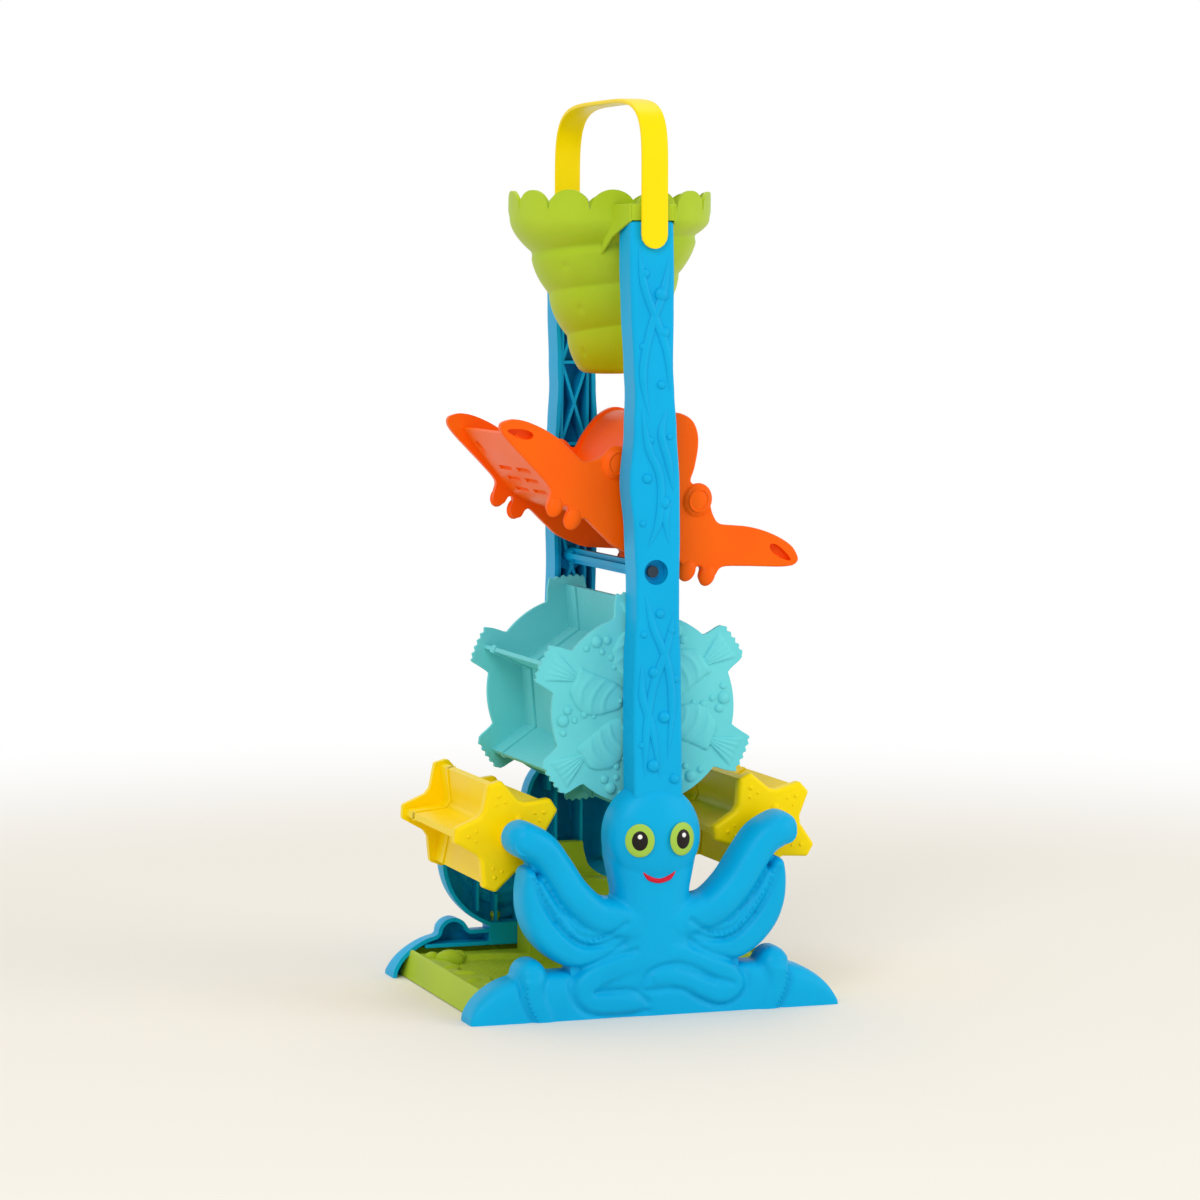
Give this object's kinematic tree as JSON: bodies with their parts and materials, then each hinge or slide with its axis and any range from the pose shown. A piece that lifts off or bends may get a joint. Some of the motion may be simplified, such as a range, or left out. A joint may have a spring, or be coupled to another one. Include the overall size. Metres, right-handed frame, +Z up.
{
  "type": "sand funnel tower",
  "caption": "Standing sand and water tower toy: a spiral funnel feeds a tilting crab-shaped tray, which tips onto a paddle wheel and star wheels over a base tray, with a carrying handle.",
  "frame": {"origin": "on the ground, under the middle of the tower", "axes": "+Z up, +X along the side frames towards the side where the crab tray rests low, +Y from the front frame to the rear frame"},
  "size_m": [0.2245, 0.19, 0.532],
  "materials": {
    "blue_plastic": "satin moulding, azure blue",
    "yellow_plastic": "satin moulding, bright yellow",
    "green_plastic": "satin moulding, lime green",
    "orange_plastic": "satin moulding, orange",
    "turquoise_plastic": "satin moulding, turquoise",
    "screw_steel": "plain screw steel"
  },
  "bodies": {
    "tower": {"front_frame": "blue_plastic", "rear_frame": "blue_plastic", "base_tray": "green_plastic", "tie_bar": "blue_plastic", "front_bar_screw": "screw_steel", "rear_bar_screw": "screw_steel", "funnel": "green_plastic", "crab_axle": "orange_plastic", "wheel_axle": "turquoise_plastic", "left_star_axle": "yellow_plastic", "right_star_axle": "yellow_plastic"},
    "handle": {"handle": "yellow_plastic"},
    "crab": {"crab_front_plate": "orange_plastic", "crab_rear_plate": "orange_plastic", "crab_trough": "orange_plastic"},
    "wheel": {"wheel_front_half": "turquoise_plastic", "wheel_rear_half": "turquoise_plastic"},
    "left_star": {"left_star_front_half": "yellow_plastic", "left_star_rear_half": "yellow_plastic"},
    "right_star": {"right_star_front_half": "yellow_plastic", "right_star_rear_half": "yellow_plastic"}
  },
  "joints": [
    {"name": "handle_swing", "type": "hinge", "parent": "tower", "child": "handle", "pos_m": [0, 0, 0.452], "axis": [0, 1, 0], "range_deg": [-90, 90]},
    {"name": "crab_tilt", "type": "hinge", "parent": "tower", "child": "crab", "pos_m": [0, 0, 0.2845], "axis": [0, 1, 0], "range_deg": [-48, 0]},
    {"name": "wheel_spin", "type": "hinge", "parent": "tower", "child": "wheel", "pos_m": [0, 0, 0.1762], "axis": [0, 1, 0], "continuous": true},
    {"name": "left_star_spin", "type": "hinge", "parent": "tower", "child": "left_star", "pos_m": [-0.0802, 0, 0.1035], "axis": [0, 1, 0], "continuous": true},
    {"name": "right_star_spin", "type": "hinge", "parent": "tower", "child": "right_star", "pos_m": [0.0802, 0, 0.1035], "axis": [0, 1, 0], "continuous": true}
  ]
}
